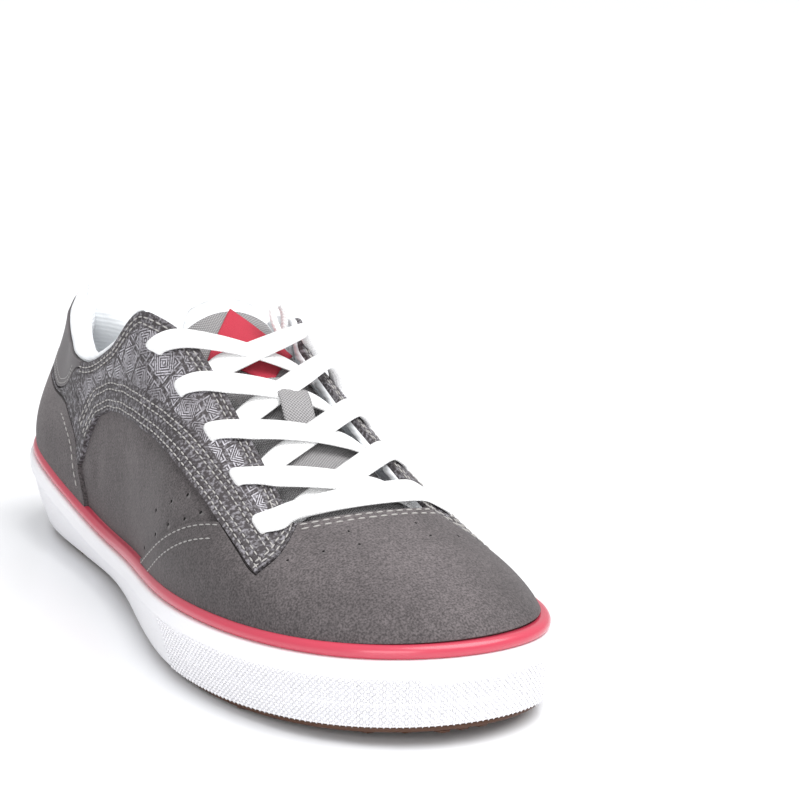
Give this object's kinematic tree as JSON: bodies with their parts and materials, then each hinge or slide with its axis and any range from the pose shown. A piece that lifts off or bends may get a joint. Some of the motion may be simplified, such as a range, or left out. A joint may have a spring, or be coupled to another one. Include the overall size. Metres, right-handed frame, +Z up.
{
  "type": "skateboarding shoe",
  "caption": "Low-cut right skateboarding shoe: dark suede and patterned leather upper, white rubber cupsole with red piping, padded collar, canvas tongue and flat white lace.",
  "frame": {"origin": "on the floor, under the middle of the shoe's box", "axes": "+Z up, the toe points along -Y, and the foot's inner side is +X"},
  "size_m": [0.1088, 0.3022, 0.1069],
  "materials": {
    "gum_rubber": "matt moulded gum rubber",
    "white_rubber": "satin moulded rubber, grained side",
    "red_rubber": "glossy extruded bead",
    "insole_cloth": "brushed textile over foam",
    "suede": "suede with a fine nap",
    "patterned_leather": "smooth leather with an embossed and printed all-over pattern",
    "nubuck": "soft nubuck",
    "red_cloth": "woven label",
    "lining": "padded knit lining",
    "canvas": "coarse plain weave",
    "lace": "flat woven lace"
  },
  "bodies": {
    "root": {"outsole": "gum_rubber", "cupsole": "white_rubber", "piping": "red_rubber", "insole": "insole_cloth", "upper": "suede", "toe_cap": "suede", "eyestay": "patterned_leather", "heel_counter": "suede", "heel_tab": "nubuck", "heel_strip": "red_cloth", "collar_padding": "lining", "tongue": "canvas", "tongue_label": "red_cloth", "lace_keeper": "canvas", "lace_bar_1": "lace", "lace_crossing_2": "lace", "lace_crossing_3": "lace", "lace_crossing_4": "lace", "lace_crossing_5": "lace", "lace_tail": "lace"}
  },
  "joints": []
}
